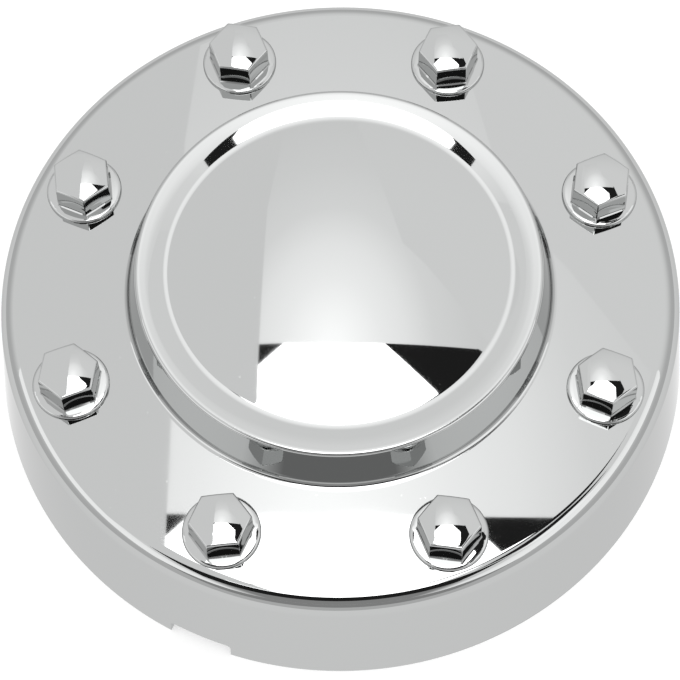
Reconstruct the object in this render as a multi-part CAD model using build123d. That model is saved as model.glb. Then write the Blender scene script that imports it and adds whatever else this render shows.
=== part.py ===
from build123d import *
from math import cos, radians, sqrt, tan
import os

# Wheel center cap, one chrome-plated moulding with eight dummy lug nuts.
# Millimetres, +Z out of the wheel, origin on the axis in the plane of the rim.

# Bolt pattern
bolt_circle_d = 200.0
nut_count = 8
first_nut_deg = 22.5

# Skirt and flat face
rim_r = 124.75
skirt_draft = 6.0
face_z = 50.0
shoulder_fillet = 8.5
wall = 3.0

# Raised hub with its ring and domed disc
hub_foot_r = 74.85
hub_draft = 13.0
hub_rise = 16.4
foot_chamfer = 1.2
hub_edge_chamfer = 0.9
crown_inset = 2.0
ring_width = 9.0
crease_drop = 1.4
disc_dome_r = 600.0

# Dummy lug nuts and their flanges
nut_flats = 19.0
nut_draft = 5.2
nut_height = 13.0
nut_dome_r = 36.0
nut_wall = 2.6
flange_r = 13.45
flange_edge = 1.0
flange_slope = 8.0

# Split collars behind the nuts
collar_bore_r = 12.9
collar_wall = 2.2
collar_length = 26.0
slit_count = 3
slit_width = 2.4
slit_length = 17.0

# Pry notch in the bottom edge of the skirt
notch_deg = 247.5
notch_width = 23.0
notch_height = 7.0
notch_corner_r = 1.6

# Sizes that follow from the ones above
bolt_circle_r = bolt_circle_d / 2
face_under_z = face_z - wall
crown_z = face_z + hub_rise
hub_top_r = hub_foot_r - hub_rise * tan(radians(hub_draft))
crown_r = hub_top_r - crown_inset
crease_r = crown_r - ring_width
crease_z = crown_z - crease_drop
disc_top_z = crease_z + disc_dome_r - sqrt(disc_dome_r**2 - crease_r**2)
nut_top_z = face_z + nut_height
nut_seat_z = face_z + flange_edge + (flange_r - nut_flats / 2) * tan(radians(flange_slope))


def skirt_r(z):
    """Outside radius of the drafted skirt at height z."""
    return rim_r - z * tan(radians(skirt_draft))


def corner(face, x, z):
    """Vertex of a flat outline nearest to a named corner point."""
    return face.vertices().sort_by_distance((x, z, 0))[0]


def sharp_outline():
    """Outside of the section with sharp corners, run below the rim and past the axis."""
    low = -3 * wall
    start = Polyline(
        (-crease_r, crease_z),
        (-crease_r, low),
        (skirt_r(low), low),
        (skirt_r(face_z), face_z),
        (hub_foot_r, face_z),
        (hub_top_r, crown_z),
        (crown_r, crown_z),
        (crease_r, crease_z),
    )
    disc = ThreePointArc((crease_r, crease_z), (0, disc_top_z), (-crease_r, crease_z))
    return make_face(start.edges() + disc.edges())


def outside_outline():
    """Outside of the section with its shoulder, hub foot and hub edge shaped."""
    face = sharp_outline()
    face = fillet(corner(face, skirt_r(face_z), face_z), shoulder_fillet)
    face = chamfer(corner(face, hub_foot_r, face_z), foot_chamfer)
    return chamfer(corner(face, hub_top_r, crown_z), hub_edge_chamfer)


def hollow_outline():
    """Hollow of the section, one wall inside the outside, with plain corners."""
    face = offset(sharp_outline(), amount=-wall, kind=Kind.INTERSECTION)
    shoulder = corner(face, skirt_r(face_z), face_z)
    return chamfer(shoulder, (shoulder_fillet - wall) / 2)


def cap_shell():
    """Skirt, face, hub wall, ring and domed disc as one revolved wall."""
    half = Pos(rim_r, disc_top_z) * Rectangle(2 * rim_r, 2 * disc_top_z)
    section = (outside_outline() - hollow_outline()) & half
    return revolve(Plane.XZ * section, Axis.Z)


def nut_flange():
    """Round flange whose top slopes down to its edge."""
    edge_z = face_z + flange_edge
    section = make_face(
        Polyline(
            (0, face_z - wall / 2),
            (flange_r, face_z - wall / 2),
            (flange_r, edge_z),
            (0, edge_z + flange_r * tan(radians(flange_slope))),
            close=True,
        )
    )
    return revolve(Plane.XZ * section, Axis.Z)


def hexagon(z, inset):
    """Section of the drafted hexagon at height z, one corner pointing outward."""
    half_flats = nut_flats / 2 - (z - nut_seat_z) * tan(radians(nut_draft)) - inset
    return Pos(0, 0, z) * RegularPolygon(half_flats, 6, major_radius=False)


def nut_hex():
    """Drafted hexagon closed by a dome."""
    body = extrude(hexagon(face_z - wall / 2, 0), nut_height + wall, taper=nut_draft)
    return body & Pos(0, 0, nut_top_z - nut_dome_r) * Sphere(nut_dome_r)


def nut_core():
    """Hexagonal hollow of a dummy nut, open to the underside of the face."""
    low_z = face_under_z - wall
    corner_r = nut_flats / sqrt(3) - nut_wall
    dome_drop = nut_dome_r - sqrt(nut_dome_r**2 - corner_r**2)
    top_z = nut_top_z - dome_drop - nut_wall
    return extrude(hexagon(low_z, nut_wall), top_z - low_z, taper=nut_draft)


def collar():
    """Split collar that grips a lug nut of the wheel."""
    low_z = face_under_z - collar_length
    section = Circle(collar_bore_r + collar_wall) - Circle(collar_bore_r)
    tube = Pos(0, 0, low_z) * extrude(section, collar_length + wall / 2)
    slit_x = collar_bore_r + collar_wall / 2
    slit = Pos(slit_x, 0, low_z) * Box(3 * collar_wall, slit_width, 2 * slit_length)
    for place in PolarLocations(0, slit_count, start_angle=180 / slit_count):
        tube -= place * slit
    return tube


def pry_notch():
    """Cutter for the shallow notch in the bottom edge of the skirt."""
    window = RectangleRounded(notch_width, 2 * notch_height, notch_corner_r)
    block = extrude(Plane.YZ * window, amount=6 * wall)
    return Rot(0, 0, notch_deg) * Pos(rim_r - 4 * wall, 0, 0) * block


def center_cap():
    """The whole moulding."""
    places = PolarLocations(bolt_circle_r, nut_count, start_angle=first_nut_deg)
    nut = nut_hex() + nut_flange() + collar()
    cap = cap_shell() + [place * nut for place in places]
    cap -= [place * nut_core() for place in places]
    return cap - pry_notch()


os.makedirs("parts", exist_ok=True)
cap = center_cap()
export_step(cap, "parts/center_cap.step")
print("volume cm3", round(cap.volume / 1000, 1), "solids", len(cap.solids()), cap.is_valid)
print("size mm", cap.bounding_box().size)
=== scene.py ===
"""Chrome-plated wheel center cap with dummy lug nuts and split collars, in a white studio."""

import math

import bmesh
import bpy
from bpy.props import FloatProperty, FloatVectorProperty, IntProperty, PointerProperty
from mathutils import Matrix, Vector
from mathutils.geometry import intersect_line_line_2d


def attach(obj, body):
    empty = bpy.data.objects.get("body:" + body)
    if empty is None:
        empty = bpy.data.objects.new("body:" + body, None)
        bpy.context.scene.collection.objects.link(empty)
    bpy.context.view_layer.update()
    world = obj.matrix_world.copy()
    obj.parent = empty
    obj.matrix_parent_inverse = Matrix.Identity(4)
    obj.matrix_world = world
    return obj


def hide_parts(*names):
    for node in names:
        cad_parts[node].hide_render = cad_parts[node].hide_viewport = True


bl_info = {
    "name": "Wheel Center Cap",
    "version": (1, 0, 0),
    "blender": (4, 5, 0),
    "location": "View3D > Sidebar > Center Cap",
    "description": "Builds a chrome-plated center cap with dummy lug nuts on its packed frame",
    "category": "Object",
}

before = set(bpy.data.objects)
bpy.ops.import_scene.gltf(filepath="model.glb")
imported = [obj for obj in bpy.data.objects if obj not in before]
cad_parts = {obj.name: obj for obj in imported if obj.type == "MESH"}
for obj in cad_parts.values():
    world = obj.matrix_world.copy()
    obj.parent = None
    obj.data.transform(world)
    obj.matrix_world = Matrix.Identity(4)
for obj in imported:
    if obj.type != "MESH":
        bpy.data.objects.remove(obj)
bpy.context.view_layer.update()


# Settings


class ShellSettings(bpy.types.PropertyGroup):
    """Section of the revolved shell."""

    rim_radius: FloatProperty(
        name="Rim Radius",
        description="Outside radius of the skirt at its bottom edge",
        default=0.12475,
        unit="LENGTH",
    )
    skirt_draft: FloatProperty(
        name="Skirt Draft",
        description="Lean of the skirt towards the axis",
        default=math.radians(6),
        subtype="ANGLE",
    )
    face_height: FloatProperty(
        name="Face Height",
        description="Height of the flat face above the bottom edge",
        default=0.050,
        unit="LENGTH",
    )
    shoulder_radius: FloatProperty(
        name="Shoulder Radius",
        description="Rounding between the skirt and the flat face",
        default=0.007,
        unit="LENGTH",
    )
    wall: FloatProperty(
        name="Wall",
        description="Thickness of the moulded wall",
        default=0.003,
        unit="LENGTH",
    )
    edge_radius: FloatProperty(
        name="Edge Radius",
        description="Rounding of the bottom edge",
        default=0.0006,
        unit="LENGTH",
    )
    hub_radius: FloatProperty(
        name="Hub Radius",
        description="Radius of the raised hub where it leaves the face",
        default=0.07485,
        unit="LENGTH",
    )
    hub_draft: FloatProperty(
        name="Hub Draft",
        description="Lean of the hub's wall towards the axis",
        default=math.radians(13),
        subtype="ANGLE",
    )
    hub_rise: FloatProperty(
        name="Hub Rise",
        description="Height of the hub above the face",
        default=0.0164,
        unit="LENGTH",
    )
    foot_radius: FloatProperty(
        name="Foot Radius",
        description="Hollow rounding at the foot of the hub",
        default=0.0022,
        unit="LENGTH",
    )
    crown_radius: FloatProperty(
        name="Crown Radius",
        description="Rounding of the hub's top edge",
        default=0.0013,
        unit="LENGTH",
    )
    crown_inset: FloatProperty(
        name="Crown Inset",
        description="Flat land between the hub's top edge and the ring",
        default=0.0014,
        unit="LENGTH",
    )
    ring_width: FloatProperty(
        name="Ring Width",
        description="Width of the ring that falls from the crown to the crease",
        default=0.0096,
        unit="LENGTH",
    )
    crease_drop: FloatProperty(
        name="Crease Drop",
        description="Depth of the crease below the crown",
        default=0.0014,
        unit="LENGTH",
    )
    crease_radius: FloatProperty(
        name="Crease Radius",
        description="Hollow rounding of the crease",
        default=0.010,
        unit="LENGTH",
    )
    dome_radius: FloatProperty(
        name="Dome Radius",
        description="Radius of the domed disc",
        default=0.6,
        unit="LENGTH",
    )
    notch_angle: FloatProperty(
        name="Notch Angle",
        description="Place of the pry notch round the axis",
        default=math.radians(247.5),
        subtype="ANGLE",
    )
    notch_width: FloatProperty(
        name="Notch Width",
        description="Width of the pry notch in the bottom edge",
        default=0.023,
        unit="LENGTH",
    )
    notch_height: FloatProperty(
        name="Notch Height",
        description="Height of the pry notch above the bottom edge",
        default=0.007,
        unit="LENGTH",
    )
    notch_corner: FloatProperty(
        name="Notch Corner",
        description="Rounding of the notch's corners",
        default=0.0016,
        unit="LENGTH",
    )
    steps: IntProperty(
        name="Steps",
        description="Number of steps of the shell round its axis",
        default=288,
        min=24,
    )


class NutSettings(bpy.types.PropertyGroup):
    """Dummy lug nuts on their bolt circle."""

    circle_radius: FloatProperty(
        name="Bolt Circle Radius",
        description="Distance of the nuts from the axis",
        default=0.100,
        unit="LENGTH",
    )
    count: IntProperty(
        name="Count",
        description="Number of nuts",
        default=8,
        min=3,
    )
    first_angle: FloatProperty(
        name="First Angle",
        description="Place of the first nut round the axis",
        default=math.radians(22.5),
        subtype="ANGLE",
    )
    flats: FloatProperty(
        name="Across Flats",
        description="Width of the hexagon at its seat",
        default=0.019,
        unit="LENGTH",
    )
    draft: FloatProperty(
        name="Draft",
        description="Lean of the flats towards the nut's axis",
        default=math.radians(0.5),
        subtype="ANGLE",
    )
    height: FloatProperty(
        name="Height",
        description="Height of the nut above the face",
        default=0.0125,
        unit="LENGTH",
    )
    dome_radius: FloatProperty(
        name="Dome Radius",
        description="Radius of the nut's domed top",
        default=0.046,
        unit="LENGTH",
    )
    dome_shift: FloatProperty(
        name="Dome Shift",
        description="Distance of the dome's top outward from the nut's axis",
        default=0.0019,
        unit="LENGTH",
    )
    corner_radius: FloatProperty(
        name="Corner Radius",
        description="Rounding of the hexagon's upright edges",
        default=0.0005,
        unit="LENGTH",
    )
    lip_radius: FloatProperty(
        name="Lip Radius",
        description="Rounding between the flats and the dome",
        default=0.0007,
        unit="LENGTH",
    )
    core_wall: FloatProperty(
        name="Core Wall",
        description="Thickness of the nut round its hollow core",
        default=0.0026,
        unit="LENGTH",
    )
    flange_radius: FloatProperty(
        name="Flange Radius",
        description="Radius of the round flange",
        default=0.01345,
        unit="LENGTH",
    )
    flange_edge: FloatProperty(
        name="Flange Edge",
        description="Height of the flange's edge",
        default=0.0013,
        unit="LENGTH",
    )
    flange_slope: FloatProperty(
        name="Flange Slope",
        description="Slope of the flange's top",
        default=math.radians(3),
        subtype="ANGLE",
    )


class CollarSettings(bpy.types.PropertyGroup):
    """Split collars behind the nuts."""

    bore_radius: FloatProperty(
        name="Bore Radius",
        description="Inside radius of a collar",
        default=0.0129,
        unit="LENGTH",
    )
    wall: FloatProperty(
        name="Wall",
        description="Thickness of a collar",
        default=0.0022,
        unit="LENGTH",
    )
    length: FloatProperty(
        name="Length",
        description="Length of a collar below the face",
        default=0.026,
        unit="LENGTH",
    )
    slit_length: FloatProperty(
        name="Slit Length",
        description="Length of the slits from the collar's mouth",
        default=0.017,
        unit="LENGTH",
    )
    slit_count: IntProperty(
        name="Slit Count",
        description="Number of slits in a collar",
        default=3,
        min=2,
    )


class PlatingSettings(bpy.types.PropertyGroup):
    """Colours of the chrome plating."""

    colour: FloatVectorProperty(
        name="Plating Colour",
        description="Reflectance of the chrome",
        default=(0.549, 0.556, 0.554),
        subtype="COLOR",
        min=0,
        max=1,
    )
    inner_colour: FloatVectorProperty(
        name="Inner Colour",
        description="Reflectance of the thin plating on the hidden side",
        default=(0.43, 0.435, 0.435),
        subtype="COLOR",
        min=0,
        max=1,
    )


class StudioSettings(bpy.types.PropertyGroup):
    """Camera and overhead cards of the studio."""

    camera_place: FloatVectorProperty(
        name="Camera Place",
        description="Place of the camera",
        default=(0.0179, -0.4010, 0.8467),
        subtype="TRANSLATION",
    )
    camera_azimuth: FloatProperty(
        name="Camera Azimuth",
        description="Turn of the camera round the upright axis",
        default=math.radians(2.62),
        subtype="ANGLE",
    )
    camera_elevation: FloatProperty(
        name="Camera Elevation",
        description="Angle by which the camera looks down",
        default=math.radians(64.44),
        subtype="ANGLE",
    )
    camera_roll: FloatProperty(
        name="Camera Roll",
        description="Turn of the camera about its own line of sight",
        default=math.radians(-1.89),
        subtype="ANGLE",
    )
    lens: FloatProperty(
        name="Lens",
        description="Focal length in millimetres on a 36 mm sensor",
        default=133.99,
    )
    card_height: FloatProperty(
        name="Card Height",
        description="Height of the overhead cards above the floor",
        default=1.6,
        unit="LENGTH",
    )
    softbox: FloatProperty(
        name="Softbox",
        description="Brightness of the octagonal softbox",
        default=3.6,
        min=0,
    )


# Mesh helpers

# Edges bent by more than this stay crisp
SHARP_ANGLE = math.radians(34)
LARGE_FACE_WEIGHT = 80
# Ends of meshes that meet are merged within this distance
MERGE_REACH = 1e-6


def only_verts(geom):
    """Vertices among the results of an operator."""
    return [g for g in geom if isinstance(g, bmesh.types.BMVert)]


def in_turn(verts):
    """Vertices in their order round the Z axis."""
    return sorted(verts, key=lambda vert: math.atan2(vert.co.y, vert.co.x) % (2 * math.pi))


def new_piece(name, bm, materials):
    """Makes an object of a finished bmesh and fits its materials."""
    bmesh.ops.remove_doubles(bm, verts=bm.verts, dist=MERGE_REACH)
    bmesh.ops.recalc_face_normals(bm, faces=bm.faces)
    mesh = bpy.data.meshes.new(name)
    bm.to_mesh(mesh)
    bm.free()
    for material in materials:
        mesh.materials.append(material)
    piece = bpy.data.objects.new(name, mesh)
    bpy.context.scene.collection.objects.link(piece)
    return piece


def smooth_shading(piece):
    """Smooth shading with crisp edges, whose normals follow the larger faces."""
    piece.data.shade_smooth()
    piece.data.set_sharp_from_angle(angle=SHARP_ANGLE)
    weighted = piece.modifiers.new("Weighted Normal", "WEIGHTED_NORMAL")
    weighted.keep_sharp = True
    weighted.mode = "FACE_AREA"
    weighted.weight = LARGE_FACE_WEIGHT


def wire(bm, points):
    """Chain of edges through points of the XZ plane."""
    verts = [bm.verts.new((x, 0, z)) for x, z in points]
    for pair in zip(verts, verts[1:]):
        bm.edges.new(pair)
    return verts


def arc(bm, vert, centre, angle, steps):
    """Carries a wire on from its end vertex round a centre in the XZ plane."""
    bmesh.ops.spin(
        bm,
        geom=[vert],
        cent=(centre[0], 0, centre[1]),
        axis=(0, 1, 0),
        angle=angle,
        steps=steps,
    )


def round_edges(bm, geom, offset, segments, affect="EDGES"):
    """Rounds edges, or the corners of a wire, and gives the operator's result."""
    return bmesh.ops.bevel(
        bm,
        geom=geom,
        offset=offset,
        offset_type="OFFSET",
        segments=segments,
        profile=0.5,
        affect=affect,
        material=-1,
    )


def round_corner(bm, vert, radius, segments):
    """Rounds a corner between two straight edges of a wire."""
    one, other = (edge.other_vert(vert).co - vert.co for edge in vert.link_edges)
    offset = radius / math.tan(one.angle(other) / 2)
    round_edges(bm, [vert], offset, segments, "VERTICES")


def turn_full(bm, steps, material_index):
    """Turns the loose wires of a bmesh once round the Z axis."""
    edges = [edge for edge in bm.edges if edge.is_wire]
    verts = list({vert for edge in edges for vert in edge.verts})
    before = set(bm.faces)
    bmesh.ops.spin(
        bm,
        geom=verts + edges,
        cent=(0, 0, 0),
        axis=(0, 0, 1),
        angle=2 * math.pi,
        steps=steps,
        use_merge=True,
    )
    for face in set(bm.faces) - before:
        face.material_index = material_index


def next_ring(bm, ring, places):
    """Extrudes a closed ring of vertices and moves the new ring to the given places."""
    edges = [bm.edges.get(pair) for pair in zip(ring, ring[1:] + ring[:1])]
    fresh = set(only_verts(bmesh.ops.extrude_edge_only(bm, edges=edges)["geom"]))
    following = []
    for vert in ring:
        others = (edge.other_vert(vert) for edge in vert.link_edges)
        following.append(next(other for other in others if other in fresh))
    for vert, place in zip(following, places):
        vert.co = place
    return following


def close_ring(bm, ring, place):
    """Closes a ring with a fan of faces to one place."""
    copied = next_ring(bm, ring, [vert.co.copy() for vert in ring])
    bmesh.ops.pointmerge(bm, verts=copied, merge_co=place)


def cut(piece, cutter):
    """Cuts one mesh out of another and removes the cutter."""
    modifier = piece.modifiers.new("Cut", "BOOLEAN")
    modifier.operation = "DIFFERENCE"
    modifier.solver = "EXACT"
    modifier.object = cutter
    bpy.context.view_layer.update()
    graph = bpy.context.evaluated_depsgraph_get()
    mesh = bpy.data.meshes.new_from_object(piece.evaluated_get(graph))
    piece.modifiers.clear()
    piece.data = mesh
    bpy.data.objects.remove(cutter)


# Materials

# Tint of the mirror at grazing angles
GRAZING_TINT = (0.78, 0.78, 0.78, 1)
# Size of a dust speck within its cell
SPECK_SIZE = 0.045


def new_material(name):
    """Material with a Principled shader, its node tree and the shader node."""
    material = bpy.data.materials.new(name)
    material.use_nodes = True
    tree = material.node_tree
    return material, tree, tree.nodes["Principled BSDF"]


def set_values(node, values):
    """Sets a node's inputs by name or number."""
    for key, value in values.items():
        node.inputs[key].default_value = value


def add_node(tree, kind, values=None, operation=None):
    """Adds a node with its input values and, where it has one, its operation."""
    node = tree.nodes.new(kind)
    if operation:
        node.operation = operation
    set_values(node, values or {})
    return node


def number_group(name, inputs, output):
    """Node group of numbers with one output, and its two end nodes."""
    group = bpy.data.node_groups.new(name, "ShaderNodeTree")
    kind = "NodeSocketFloat"
    for label, value in inputs.items():
        socket = group.interface.new_socket(name=label, in_out="INPUT", socket_type=kind)
        socket.default_value = value
    group.interface.new_socket(name=output, in_out="OUTPUT", socket_type=kind)
    return group, group.nodes.new("NodeGroupInput"), group.nodes.new("NodeGroupOutput")


def haze_group():
    """Faint haze and dust specks of handled plating, as a roughness value."""
    found = bpy.data.node_groups.get("plating_haze")
    if found:
        return found
    inputs = {"Base": 0.02, "Haze": 0.02, "Specks": 0.2}
    group, source, result = number_group("plating_haze", inputs, "Roughness")
    place = add_node(group, "ShaderNodeTexCoord")
    cloud = add_node(group, "ShaderNodeTexNoise", {"Scale": 28, "Detail": 5})
    spread = add_node(group, "ShaderNodeMapRange", {"From Min": 0.4, "From Max": 0.75})
    specks = add_node(group, "ShaderNodeTexVoronoi", {"Scale": 160})
    near = add_node(group, "ShaderNodeMath", {1: SPECK_SIZE}, "LESS_THAN")
    haze = add_node(group, "ShaderNodeMath", operation="MULTIPLY_ADD")
    dust = add_node(group, "ShaderNodeMath", operation="MULTIPLY_ADD")
    link = group.links.new
    link(place.outputs["Object"], cloud.inputs["Vector"])
    link(place.outputs["Object"], specks.inputs["Vector"])
    link(cloud.outputs["Fac"], spread.inputs["Value"])
    link(specks.outputs["Distance"], near.inputs[0])
    link(spread.outputs["Result"], haze.inputs[0])
    link(source.outputs["Haze"], haze.inputs[1])
    link(source.outputs["Base"], haze.inputs[2])
    link(near.outputs["Value"], dust.inputs[0])
    link(source.outputs["Specks"], dust.inputs[1])
    link(haze.outputs["Value"], dust.inputs[2])
    link(dust.outputs["Value"], result.inputs["Roughness"])
    return group


def ripple_group():
    """Slow waviness of moulded plastic under its plating, as a height in metres."""
    found = bpy.data.node_groups.get("moulding_ripple")
    if found:
        return found
    group, source, result = number_group("moulding_ripple", {"Waves": 1.0, "Peel": 1.0}, "Height")
    place = add_node(group, "ShaderNodeTexCoord")
    waves = add_node(group, "ShaderNodeTexNoise", {"Scale": 22, "Detail": 1})
    peel = add_node(group, "ShaderNodeTexNoise", {"Scale": 700, "Detail": 2})
    slow = add_node(group, "ShaderNodeMath", operation="MULTIPLY")
    both = add_node(group, "ShaderNodeMath", operation="MULTIPLY_ADD")
    link = group.links.new
    link(place.outputs["Object"], waves.inputs["Vector"])
    link(place.outputs["Object"], peel.inputs["Vector"])
    link(waves.outputs["Fac"], slow.inputs[0])
    link(source.outputs["Waves"], slow.inputs[1])
    link(peel.outputs["Fac"], both.inputs[0])
    link(source.outputs["Peel"], both.inputs[1])
    link(slow.outputs["Value"], both.inputs[2])
    link(both.outputs["Value"], result.inputs["Height"])
    return group


def plating(name, colour, haze, ripple):
    """Chrome plating over moulded plastic, with the values of its haze and its ripple."""
    material, tree, shader = new_material(name)
    set_values(shader, {"Base Color": (*colour, 1), "Metallic": 1, "Specular Tint": GRAZING_TINT})
    hazy = add_node(tree, "ShaderNodeGroup")
    hazy.node_tree = haze_group()
    set_values(hazy, haze)
    wavy = add_node(tree, "ShaderNodeGroup")
    wavy.node_tree = ripple_group()
    set_values(wavy, ripple)
    bump = add_node(tree, "ShaderNodeBump", {"Strength": 1, "Distance": 1})
    tree.links.new(hazy.outputs["Roughness"], shader.inputs["Roughness"])
    tree.links.new(wavy.outputs["Height"], bump.inputs["Height"])
    tree.links.new(bump.outputs["Normal"], shader.inputs["Normal"])
    return material


def bright_plating():
    """Mirror chrome of the visible side."""
    found = bpy.data.materials.get("bright_chrome")
    if found:
        return found
    colour = bpy.context.scene.center_cap_plating.colour
    haze = {"Base": 0.015, "Haze": 0.02, "Specks": 0.15}
    return plating("bright_chrome", colour, haze, {"Waves": 1.5e-6, "Peel": 2e-8})


def thin_plating():
    """Dull, thin chrome of the hidden side."""
    found = bpy.data.materials.get("thin_chrome")
    if found:
        return found
    colour = bpy.context.scene.center_cap_plating.inner_colour
    haze = {"Base": 0.2, "Haze": 0.16, "Specks": 0.1}
    return plating("thin_chrome", colour, haze, {"Waves": 4e-6, "Peel": 4e-7})


# Shell

# Share of the ring's width and of its drop at which the ring grows steeper
KNEE_OUT = 0.38
KNEE_DOWN = 0.29
# Roundings of the ring's outer edge and of its knee
LAND_ROUNDING = 0.012
KNEE_ROUNDING = 0.060
# Distance from the crease to the first point of the disc
DISC_START = 0.003
# Length by which straight lines run on to meet each other
RUN_ON = 0.02
# Room between a nut's hollow core and the opening in the face
CORE_ROOM = 0.0001
# Half the turn from one corner of a hexagon to the next
CORNER_TURN = math.pi / 6


def sharp_points(s):
    """Corner points of the section outside, from the bottom edge to the ring."""
    crown_z = s.face_height + s.hub_rise
    hub_top = s.hub_radius - s.hub_rise * math.tan(s.hub_draft)
    skirt_top = s.rim_radius - s.face_height * math.tan(s.skirt_draft)
    return [
        (s.rim_radius, 0.0),
        (skirt_top, s.face_height),
        (s.hub_radius, s.face_height),
        (hub_top, crown_z),
        (hub_top - s.crown_inset, crown_z),
    ]


def dome_centre(s, crease):
    """Centre of the domed disc's section, whose dome starts at the crease."""
    return Vector((0, crease[1] - math.sqrt(s.dome_radius**2 - crease[0] ** 2)))


def outside_wire(bm, s):
    """Section of the visible side, from the middle of the bottom edge to the axis."""
    points = sharp_points(s)
    land_r, crown_z = points[-1]
    # The ring falls gently from the land and then a little more steeply to the crease
    knee = (land_r - KNEE_OUT * s.ring_width, crown_z - KNEE_DOWN * s.crease_drop)
    crease = (land_r - s.ring_width, crown_z - s.crease_drop)
    dome_c = dome_centre(s, crease)
    start_r = crease[0] - DISC_START
    start = (start_r, dome_c.y + math.sqrt(s.dome_radius**2 - start_r**2))
    middle = (s.rim_radius - s.wall / 2, 0.0)
    verts = wire(bm, [middle] + points + [knee, crease, start])
    arc(bm, verts[-1], dome_c, -math.asin(start_r / s.dome_radius), 30)
    roundings = (
        (s.edge_radius, 4),
        (s.shoulder_radius, 14),
        (s.foot_radius, 8),
        (s.crown_radius, 6),
        (LAND_ROUNDING, 5),
        (KNEE_ROUNDING, 5),
        (s.crease_radius, 8),
    )
    for vert, (radius, segments) in zip(verts[1:-1], roundings):
        round_corner(bm, vert, radius, segments)


def inside_wire(bm, s):
    """Section of the hidden side, one wall inside the outside."""
    points = [Vector(point) for point in sharp_points(s)]
    crease = points[-1] - Vector((s.ring_width, s.crease_drop))
    dome_c = dome_centre(s, crease)
    lines = []
    for start, end in zip(points, points[1:] + [crease]):
        along = (end - start).normalized()
        inward = Vector((-along.y, along.x)) * s.wall
        lines.append((start + inward - along * RUN_ON, end + inward + along * RUN_ON))
    corners = [intersect_line_line_2d(*one, *other) for one, other in zip(lines, lines[1:])]
    foot = points[0] + Vector((-s.wall / math.cos(s.skirt_draft), 0))
    under_r = s.dome_radius - s.wall
    edge = Vector((crease.x, dome_c.y + math.sqrt(under_r**2 - crease.x**2)))
    middle = Vector((s.rim_radius - s.wall / 2, 0.0))
    verts = wire(bm, [middle, foot] + corners + [edge])
    arc(bm, verts[-1], dome_c, -math.asin(edge.x / under_r), 12)
    round_corner(bm, verts[1], s.edge_radius, 4)
    round_corner(bm, verts[2], s.shoulder_radius - s.wall, 5)


def hexagon_prism(bm, half_low, half_high, low_z, high_z):
    """Six-sided tapered prism on the Z axis, one corner towards +X."""
    lift = Matrix.Translation((0, 0, (low_z + high_z) / 2))
    made = bmesh.ops.create_cone(
        bm,
        cap_ends=True,
        segments=6,
        radius1=half_low / math.cos(CORNER_TURN),
        radius2=half_high / math.cos(CORNER_TURN),
        depth=high_z - low_z,
        matrix=lift @ Matrix.Rotation(math.pi / 2, 4, "Z"),
    )
    return made["verts"]


def nut_places(n):
    """Placing of each nut: out on the bolt circle and turned to face outward."""
    places = []
    for index in range(n.count):
        angle = n.first_angle + index * 2 * math.pi / n.count
        places.append(Matrix.Rotation(angle, 4, "Z") @ Matrix.Translation((n.circle_radius, 0, 0)))
    return places


def flange_z(n, face_z, radius):
    """Height of the flange's sloping top at a distance from the nut's axis."""
    return face_z + n.flange_edge + (n.flange_radius - radius) * math.tan(n.flange_slope)


def nut_half(n, face_z, z):
    """Half the width across the flats at height z."""
    seat_z = flange_z(n, face_z, n.flats / 2)
    return n.flats / 2 - (z - seat_z) * math.tan(n.draft)


def notch_block(bm, s):
    """Block with rounded long edges that cuts the pry notch."""
    size = Matrix.Diagonal((8 * s.wall, s.notch_width, 2 * s.notch_height, 1))
    block = bmesh.ops.create_cube(bm, size=1, matrix=size)["verts"]
    edges = [edge for edge in bm.edges if set(edge.verts) <= set(block)]
    edges = [edge for edge in edges if abs((edge.verts[0].co - edge.verts[1].co).x) > s.wall]
    rounded = round_edges(bm, edges, s.notch_corner, 6)
    verts = {vert for face in rounded["faces"] for vert in face.verts}
    verts |= {vert for vert in block if vert.is_valid}
    out = Matrix.Translation((s.rim_radius, 0, 0))
    bmesh.ops.transform(bm, matrix=Matrix.Rotation(s.notch_angle, 4, "Z") @ out, verts=list(verts))


def shell_cutter(s, n):
    """Openings of the nut cores and the pry notch, as one cutter."""
    bm = bmesh.new()
    low_z, high_z = s.face_height - 2 * s.wall, s.face_height + s.wall
    inset = CORE_ROOM - n.core_wall
    for place in nut_places(n):
        low = nut_half(n, s.face_height, low_z) + inset
        high = nut_half(n, s.face_height, high_z) + inset
        verts = hexagon_prism(bm, low, high, low_z, high_z)
        bmesh.ops.transform(bm, matrix=place, verts=verts)
    notch_block(bm, s)
    return new_piece("shell_cutter", bm, [thin_plating()])


class CENTERCAP_OT_shell(bpy.types.Operator):
    """Build the skirt, face, hub, ring and domed disc as one plated wall"""

    bl_idname = "center_cap.shell"
    bl_label = "Cap Shell"

    def execute(self, context):
        s = context.scene.center_cap_shell
        bm = bmesh.new()
        outside_wire(bm, s)
        turn_full(bm, s.steps, 0)
        inside_wire(bm, s)
        turn_full(bm, s.steps, 1)
        piece = new_piece("cap_shell", bm, [bright_plating(), thin_plating()])
        cut(piece, shell_cutter(s, context.scene.center_cap_nuts))
        smooth_shading(piece)
        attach(piece, "root")
        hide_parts("center_cap")
        return {"FINISHED"}


# Lug nuts

# Steps along a flat, round a corner and over the flange's edge
FLAT_STEPS = 12
CORNER_STEPS = 6
EDGE_STEPS = 5
# Rounding of the flange's edge, and its depth below the edge's height in its own radius
FLANGE_ROUNDING = 0.0009
ROUNDING_DEPTH = 1.05
# Width of the flange's edge that the sloping top leaves free
EDGE_WIDTH = 0.0008
# Hollow between the flange's top and the foot of the flats
FOOT_GAP = 0.0003
FOOT_LIFT = 0.00035
# Shares of the way out at which the flange's top and the dome have their rings
FLANGE_RINGS = (0.9, 0.45, 0.06)
DOME_RINGS = (0.9, 0.8, 0.7, 0.6, 0.5, 0.4, 0.3, 0.2, 0.1)
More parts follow.
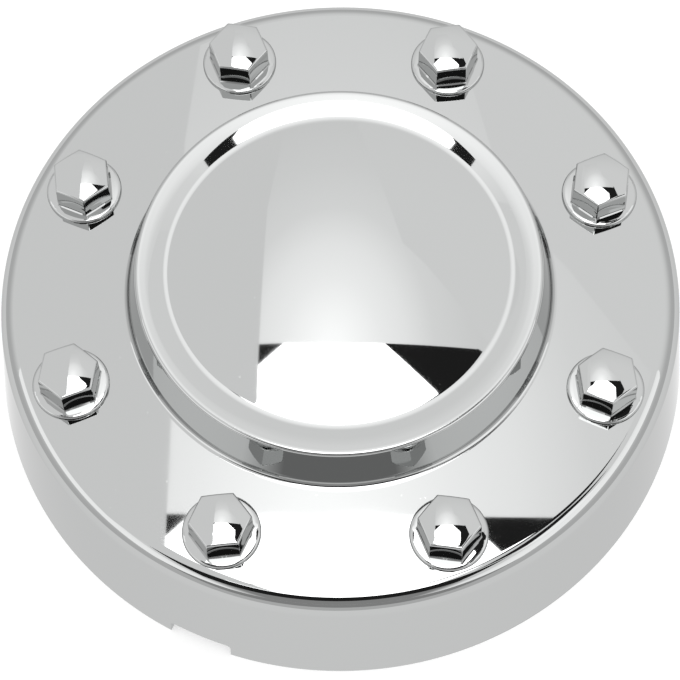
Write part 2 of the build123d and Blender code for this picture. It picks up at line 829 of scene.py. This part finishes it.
# Rounds in which the curved edge between the flats and the dome is found
RIM_ROUNDS = 4
CORE_CORNER = 0.0005
# Share of the lip's radius that its bevel is given
LIP_SHARE = 0.8


def flat_touch(half, corner):
    """Angle from a flat's middle to the end of its straight part."""
    return math.atan((half - corner) * math.tan(CORNER_TURN) / half)


def hexagon_angles(half, corner):
    """Angles round a rounded hexagon, close together at its corners."""
    touch = flat_touch(half, corner)
    gap = 2 * (CORNER_TURN - touch)
    angles = []
    for side in range(6):
        middle = CORNER_TURN + math.pi / 3 * side
        angles += [middle - touch + 2 * touch * k / FLAT_STEPS for k in range(FLAT_STEPS)]
        angles += [middle + touch + gap * k / CORNER_STEPS for k in range(CORNER_STEPS)]
    return angles


def hexagon_reach(angle, half, corner):
    """Distance from the axis to a rounded hexagon in the direction of an angle."""
    turn = abs((angle + math.pi) % (math.pi / 3) - CORNER_TURN)
    if turn <= flat_touch(half, corner):
        return half / math.cos(turn)
    centre = (half - corner) / math.cos(CORNER_TURN)
    off = CORNER_TURN - turn
    return centre * math.cos(off) + math.sqrt(corner**2 - (centre * math.sin(off)) ** 2)


def build_nut(bm, s, n):
    """One nut with its flange, hexagon, dome and hollow core, on the Z axis."""
    face_z = s.face_height
    top_z = face_z + n.height
    angles = hexagon_angles(n.flats / 2, n.corner_radius)
    around = [Vector((math.cos(a), math.sin(a), 0)) for a in angles]

    def raised(way, radius, z):
        return way * radius + Vector((0, 0, z))

    def on_flat(a, way, z):
        return raised(way, hexagon_reach(a, nut_half(n, face_z, z), n.corner_radius), z)

    def core_ring(z):
        half = nut_half(n, face_z, z) - n.core_wall
        reaches = [hexagon_reach(a, half, CORE_CORNER) for a in angles]
        return [raised(way, reach, z) for way, reach in zip(around, reaches)]

    def on_dome(place):
        away = (place.xy - Vector((n.dome_shift, 0))).length
        drop = n.dome_radius - math.sqrt(n.dome_radius**2 - away**2)
        return Vector((place.x, place.y, top_z - drop))

    # The bottom edge lies inside the wall of the face
    sunk_z = face_z - s.wall / 2
    steps = len(angles)
    start = bmesh.ops.create_circle(bm, cap_ends=False, segments=steps, radius=n.flange_radius)
    first = ring = in_turn(start["verts"])
    for vert, way in zip(ring, around):
        vert.co = raised(way, n.flange_radius, sunk_z)
    for k in range(EDGE_STEPS + 1):
        turn = (math.pi / 2 - n.flange_slope) * k / EDGE_STEPS
        radius = n.flange_radius - FLANGE_ROUNDING * (1 - math.cos(turn))
        z = face_z + n.flange_edge - FLANGE_ROUNDING * (ROUNDING_DEPTH - math.sin(turn))
        ring = next_ring(bm, ring, [raised(way, radius, z) for way in around])
    # The flange rises to the hexagon's foot
    feet = [hexagon_reach(a, n.flats / 2, n.corner_radius) for a in angles]
    for t in FLANGE_RINGS:
        places = []
        for reach, way in zip(feet, around):
            radius = reach + t * (n.flange_radius - EDGE_WIDTH - reach) + FOOT_GAP * (1 - t)
            places.append(raised(way, radius, flange_z(n, face_z, radius)))
        ring = next_ring(bm, ring, places)
    low = []
    for a, way, reach in zip(angles, around, feet):
        low.append(on_flat(a, way, flange_z(n, face_z, reach) + FOOT_LIFT))
    ring = next_ring(bm, ring, low)
    # The flats meet the dome along a curved edge
    rim = []
    for a, way in zip(angles, around):
        place = Vector((0, 0, top_z))
        for _ in range(RIM_ROUNDS):
            place = on_dome(on_flat(a, way, place.z))
        rim.append(place)
    ring = next_ring(bm, ring, [one.lerp(other, 0.5) for one, other in zip(low, rim)])
    ring = next_ring(bm, ring, rim)
    lip = [bm.edges.get(pair) for pair in zip(ring, ring[1:] + ring[:1])]
    for t in DOME_RINGS:
        ring = next_ring(bm, ring, [on_dome(place * t) for place in rim])
    close_ring(bm, ring, on_dome(Vector()))
    # The hollow core opens to the underside
    core_top = min(place.z for place in rim) - n.core_wall
    ring = next_ring(bm, first, core_ring(sunk_z))
    ring = next_ring(bm, ring, core_ring(core_top))
    close_ring(bm, ring, Vector((0, 0, core_top)))
    round_edges(bm, lip, n.lip_radius * LIP_SHARE, 3)


class CENTERCAP_OT_nuts(bpy.types.Operator):
    """Build the dummy lug nuts on the flat face"""

    bl_idname = "center_cap.nuts"
    bl_label = "Lug Nuts"

    def execute(self, context):
        s = context.scene.center_cap_shell
        n = context.scene.center_cap_nuts
        bm = bmesh.new()
        build_nut(bm, s, n)
        first = list(bm.verts) + list(bm.edges) + list(bm.faces)
        places = nut_places(n)
        for place in places[1:]:
            copied = bmesh.ops.duplicate(bm, geom=first)["geom"]
            bmesh.ops.transform(bm, matrix=place, verts=only_verts(copied))
        bmesh.ops.transform(bm, matrix=places[0], verts=only_verts(first))
        piece = new_piece("lug_nuts", bm, [bright_plating()])
        smooth_shading(piece)
        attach(piece, "root")
        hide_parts("center_cap")
        return {"FINISHED"}


# Collars

COLLAR_STEPS = 72
# Half the angle that a slit takes up, in degrees
SLIT_HALF = 5


class CENTERCAP_OT_collars(bpy.types.Operator):
    """Build the split collars under the nuts"""

    bl_idname = "center_cap.collars"
    bl_label = "Split Collars"

    def execute(self, context):
        s = context.scene.center_cap_shell
        n = context.scene.center_cap_nuts
        c = context.scene.center_cap_collars
        under_z = s.face_height - s.wall
        mouth_z = under_z - c.length
        slit_top = mouth_z + c.slit_length
        pitch = 360 / c.slit_count
        bm = bmesh.new()
        for place in nut_places(n):
            made = bmesh.ops.create_circle(
                bm,
                cap_ends=False,
                segments=COLLAR_STEPS,
                radius=c.bore_radius,
            )
            ring = in_turn(made["verts"])
            tube = list(ring)
            for vert in ring:
                vert.co.z = mouth_z
            for z in (slit_top, under_z + s.wall / 2):
                ring = next_ring(bm, ring, [Vector((v.co.x, v.co.y, z)) for v in ring])
                tube += ring
            slits = []
            for face in {face for vert in tube for face in vert.link_faces}:
                middle = face.calc_center_median()
                turn = math.degrees(math.atan2(middle.y, middle.x)) % pitch
                if middle.z < slit_top and abs(turn - pitch / 2) < SLIT_HALF:
                    slits.append(face)
            bmesh.ops.delete(bm, geom=slits, context="FACES")
            tube = [vert for vert in tube if vert.is_valid]
            bmesh.ops.transform(bm, matrix=place, verts=tube)
        bmesh.ops.recalc_face_normals(bm, faces=bm.faces)
        bmesh.ops.solidify(bm, geom=list(bm.faces), thickness=c.wall)
        piece = new_piece("collars", bm, [thin_plating()])
        smooth_shading(piece)
        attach(piece, "root")
        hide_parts("center_cap")
        return {"FINISHED"}


# Studio

FLOOR_SIZE = 4
# Light that the floor gives off, so that it reads white with a soft shadow
FLOOR_LIFT = 0.47
# Brightness of each cloth that is the same all over
CLOTHS = {
    "black_cloth": 0.02,
    "dim_cloth": 0.36,
    "white_cloth": 1.0,
    "strip_cloth": 1.5,
    "near_panel_cloth": 3.4,
}
# Distance and brightness from the brightest place of the far sheet
SHEET_STOPS = ((0.04, 1.75), (0.16, 1.48), (0.24, 1.36), (0.33, 1.15), (0.45, 1.06), (0.6, 1.0))
SHEET_CENTRE = (-0.03, 0.3)
SHEET_STRETCH = (1.9, 1.0)
# Distance to the side and brightness of the room
ROOM_STOPS = ((0.46, 0.36), (0.74, 1.35), (1.0, 1.45))
# Corners of cards, in parts of the cards' height
CEILING_GAP = (
    (-0.2, 0.345),
    (0.245, 0.345),
    (0.255, 0.334),
    (0.306, 0.195),
    (0.22, 0.03),
    (0.1, -0.085),
    (-0.2, -0.085),
)
FAR_SHEET = (
    (-0.2, 0.325),
    (0.245, 0.325),
    (0.173, 0.435),
    (0.128, 0.5),
    (0.09, 0.545),
    (0.0, 0.9),
    (-0.2, 0.9),
)
LEFT_BOARD = (
    (-0.9, -0.4),
    (-0.167, -0.4),
    (-0.167, 0.62),
    (-0.15, 0.8),
    (-0.15, 1.1),
    (-0.9, 1.1),
)
# Height of the left board above the floor
LEFT_BOARD_HEIGHT = 0.73
SOFTBOX_CENTRE = (-0.027, 0.13)
SOFTBOX_HALF = 0.2
# Levels of cards that hang just over or just under the others
OVER, UNDER = 1.01, 0.995


def emitter(name, strength):
    """Material of a plain card that gives even light, its node tree and its light."""
    material, tree, shader = new_material(name)
    tree.nodes.remove(shader)
    emission = add_node(tree, "ShaderNodeEmission", {"Strength": strength})
    tree.links.new(emission.outputs["Emission"], tree.nodes["Material Output"].inputs["Surface"])
    return material, tree, emission


def graded_cloth(name, centre, stops, stretch, height):
    """Card material whose brightness goes by stops of distance from a centre."""
    material, tree, emission = emitter(name, 1)
    middle = (centre[0] * height, centre[1] * height, 0)
    place = add_node(tree, "ShaderNodeTexCoord")
    shift = add_node(tree, "ShaderNodeVectorMath", {1: middle}, "SUBTRACT")
    scale = add_node(tree, "ShaderNodeVectorMath", {1: (*stretch, 0)}, "MULTIPLY")
    reach = add_node(tree, "ShaderNodeVectorMath", operation="LENGTH")
    link = tree.links.new
    link(place.outputs["Object"], shift.inputs[0])
    link(shift.outputs["Vector"], scale.inputs[0])
    link(scale.outputs["Vector"], reach.inputs[0])
    value = None
    for (near, before), (far, after) in zip(stops, stops[1:]):
        low, high = (before, after) if value is None else (0, after - before)
        span = {"From Min": near * height, "From Max": far * height, "To Min": low, "To Max": high}
        ramp = add_node(tree, "ShaderNodeMapRange", span)
        link(reach.outputs["Value"], ramp.inputs["Value"])
        if value is None:
            value = ramp.outputs["Result"]
            continue
        total = add_node(tree, "ShaderNodeMath", operation="ADD")
        link(value, total.inputs[0])
        link(ramp.outputs["Result"], total.inputs[1])
        value = total.outputs["Value"]
    link(value, emission.inputs["Strength"])
    return material


def stage_object(name, bm, material):
    """Makes an object of a finished bmesh, with its one material, for the studio."""
    mesh = bpy.data.meshes.new(name)
    bm.to_mesh(mesh)
    bm.free()
    mesh.materials.append(material)
    made = bpy.data.objects.new(name, mesh)
    bpy.context.scene.collection.objects.link(made)
    return made


def card(name, corners, height, level, material):
    """Flat overhead card, with its corners in parts of the cards' height."""
    bm = bmesh.new()
    bm.faces.new([bm.verts.new((x * height, y * height, height * level)) for x, y in corners])
    made = stage_object(name, bm, material)
    made.visible_camera = False
    made.visible_diffuse = False


def oblong(near_x, far_x, near_y, far_y):
    """Corners of an oblong card."""
    return ((near_x, near_y), (far_x, near_y), (far_x, far_y), (near_x, far_y))


def octagon(centre, half):
    """Corners of a regular octagon, from its centre and half its width."""
    reach = half / math.cos(math.pi / 8)
    turns = [math.pi / 8 + k * math.pi / 4 for k in range(8)]
    return [(centre[0] + reach * math.cos(a), centre[1] + reach * math.sin(a)) for a in turns]


def hang_cards(t):
    """Cards over the cap and behind the camera, for the chrome to mirror."""
    h = t.card_height
    softbox = emitter("softbox_cloth", t.softbox)[0]
    black, dim, white, strip, panel = (emitter(*cloth)[0] for cloth in CLOTHS.items())
    sheet = graded_cloth("far_sheet_cloth", SHEET_CENTRE, SHEET_STOPS, SHEET_STRETCH, h)
    room = graded_cloth("room_cloth", (0, 0), ROOM_STOPS, (1.0, 0.0), h)
    for hung in (
        # Octagonal softbox over the cap, with the black ceiling showing round it
        ("softbox", octagon(SOFTBOX_CENTRE, SOFTBOX_HALF), h, 1.0, softbox),
        ("ceiling_gap", CEILING_GAP, h, OVER, black),
        ("near_panel", oblong(-0.3, 0.24, -0.35, -0.072), h, 1.0, panel),
        ("right_gap", oblong(0.33, 0.53, -0.3, 0.1), h, 1.0, black),
        ("far_sheet", FAR_SHEET, h, UNDER, sheet),
        # The left board hangs lower than the rest
        ("left_board", LEFT_BOARD, LEFT_BOARD_HEIGHT, 1.0, white),
        # Room behind the camera, dark in the middle and paler to both sides
        ("room_high", oblong(-0.6, 0.5, -0.78, -0.35), h, 1.0, black),
        ("room_band", oblong(-1.6, 1.6, -1.5, -0.78), h, 1.0, room),
        ("room_low", oblong(-1.6, 1.6, -3.0, -1.51), h, 1.0, dim),
        ("side_left", oblong(-0.75, -1.6, -0.85, 0.35), h, OVER, room),
        ("side_right", oblong(0.62, 1.6, -0.85, 0.35), h, OVER, room),
        ("right_strip", oblong(0.55, 0.82, -0.42, -0.08), h, 1.0, strip),
    ):
        card(*hung)


def floor_material():
    """White floor with a soft shadow, plain white in the chrome and clear from below."""
    material, tree, shader = new_material("white_floor")
    matt = {"Base Color": (0.8, 0.8, 0.8, 1), "Roughness": 0.9, "Specular IOR Level": 0.0}
    set_values(shader, matt)
    path = add_node(tree, "ShaderNodeLightPath")
    white = add_node(tree, "ShaderNodeEmission")
    lift = add_node(tree, "ShaderNodeEmission", {"Strength": FLOOR_LIFT})
    soft = add_node(tree, "ShaderNodeAddShader")
    mirrored = add_node(tree, "ShaderNodeMath", operation="MAXIMUM")
    mixed = add_node(tree, "ShaderNodeMixShader")
    side = add_node(tree, "ShaderNodeNewGeometry")
    clear = add_node(tree, "ShaderNodeBsdfTransparent")
    shown = add_node(tree, "ShaderNodeMixShader")
    link = tree.links.new
    link(path.outputs["Is Glossy Ray"], mirrored.inputs[0])
    link(path.outputs["Is Transmission Ray"], mirrored.inputs[1])
    link(shader.outputs["BSDF"], soft.inputs[0])
    link(lift.outputs["Emission"], soft.inputs[1])
    link(mirrored.outputs["Value"], mixed.inputs["Fac"])
    link(soft.outputs["Shader"], mixed.inputs[1])
    link(white.outputs["Emission"], mixed.inputs[2])
    link(side.outputs["Backfacing"], shown.inputs["Fac"])
    link(mixed.outputs["Shader"], shown.inputs[1])
    link(clear.outputs["BSDF"], shown.inputs[2])
    link(shown.outputs["Shader"], tree.nodes["Material Output"].inputs["Surface"])
    return material


def white_room():
    """White surroundings that are a little darker near the horizon in the chrome."""
    world = bpy.data.worlds.new("white_room")
    world.use_nodes = True
    tree = world.node_tree
    background = tree.nodes["Background"]
    set_values(background, {"Color": (1, 1, 1, 1)})
    place = add_node(tree, "ShaderNodeTexCoord")
    split = add_node(tree, "ShaderNodeSeparateXYZ")
    span = {"From Min": 0.25, "From Max": 0.85, "To Min": 0.68, "To Max": 1.06}
    rise = add_node(tree, "ShaderNodeMapRange", span)
    rise.interpolation_type = "SMOOTHSTEP"
    path = add_node(tree, "ShaderNodeLightPath")
    shown = add_node(tree, "ShaderNodeMix", {"B": 1.0})
    link = tree.links.new
    link(place.outputs["Generated"], split.inputs["Vector"])
    link(split.outputs["Z"], rise.inputs["Value"])
    link(path.outputs["Is Camera Ray"], shown.inputs["Factor"])
    link(rise.outputs["Result"], shown.inputs["A"])
    link(shown.outputs["Result"], background.inputs["Strength"])
    return world


def place_camera(t):
    """Camera at the photograph's viewing angle."""
    data = bpy.data.cameras.new("camera")
    data.sensor_width = 36
    data.lens = t.lens
    data.clip_start, data.clip_end = 0.01, 20
    camera = bpy.data.objects.new("camera", data)
    turn = Matrix.Rotation(t.camera_azimuth, 4, "Z")
    tilt = Matrix.Rotation(math.pi / 2 - t.camera_elevation, 4, "X")
    roll = Matrix.Rotation(t.camera_roll, 4, "Z")
    camera.matrix_world = Matrix.Translation(t.camera_place) @ turn @ tilt @ roll
    bpy.context.scene.collection.objects.link(camera)
    bpy.context.scene.camera = camera


class CENTERCAP_OT_studio(bpy.types.Operator):
    """Set the floor, the overhead cards, the white surroundings and the camera"""

    bl_idname = "center_cap.studio"
    bl_label = "Studio"

    def execute(self, context):
        t = context.scene.center_cap_studio
        context.scene.world = white_room()
        bm = bmesh.new()
        bmesh.ops.create_grid(bm, x_segments=1, y_segments=1, size=FLOOR_SIZE)
        stage_object("floor", bm, floor_material())
        hang_cards(t)
        place_camera(t)
        context.scene.view_settings.view_transform = "Standard"
        return {"FINISHED"}


# Panel


class CENTERCAP_PT_panel(bpy.types.Panel):
    """Settings and steps of the center cap"""

    bl_idname = "CENTERCAP_PT_panel"
    bl_label = "Wheel Center Cap"
    bl_space_type = "VIEW_3D"
    bl_region_type = "UI"
    bl_category = "Center Cap"

    def draw(self, context):
        for name, operator in STEPS:
            box = self.layout.box()
            settings = getattr(context.scene, name)
            for key in settings.__annotations__:
                box.prop(settings, key)
            if operator:
                box.operator(operator)


STEPS = (
    ("center_cap_plating", None),
    ("center_cap_shell", "center_cap.shell"),
    ("center_cap_nuts", "center_cap.nuts"),
    ("center_cap_collars", "center_cap.collars"),
    ("center_cap_studio", "center_cap.studio"),
)
SETTINGS = {
    "center_cap_shell": ShellSettings,
    "center_cap_nuts": NutSettings,
    "center_cap_collars": CollarSettings,
    "center_cap_plating": PlatingSettings,
    "center_cap_studio": StudioSettings,
}
CLASSES = (
    *SETTINGS.values(),
    CENTERCAP_OT_shell,
    CENTERCAP_OT_nuts,
    CENTERCAP_OT_collars,
    CENTERCAP_OT_studio,
    CENTERCAP_PT_panel,
)


def register():
    """Registers the classes and gives the scene their settings."""
    for cls in CLASSES:
        bpy.utils.register_class(cls)
    for name, cls in SETTINGS.items():
        setattr(bpy.types.Scene, name, PointerProperty(type=cls))


def unregister():
    """Takes the settings and the classes away again."""
    for name in SETTINGS:
        delattr(bpy.types.Scene, name)
    for cls in reversed(CLASSES):
        bpy.utils.unregister_class(cls)


def main():
    """Builds every piece and the studio."""
    register()
    bpy.ops.center_cap.shell()
    bpy.ops.center_cap.nuts()
    bpy.ops.center_cap.collars()
    bpy.ops.center_cap.studio()
    bpy.context.view_layer.update()


if __name__ == "__main__":
    main()
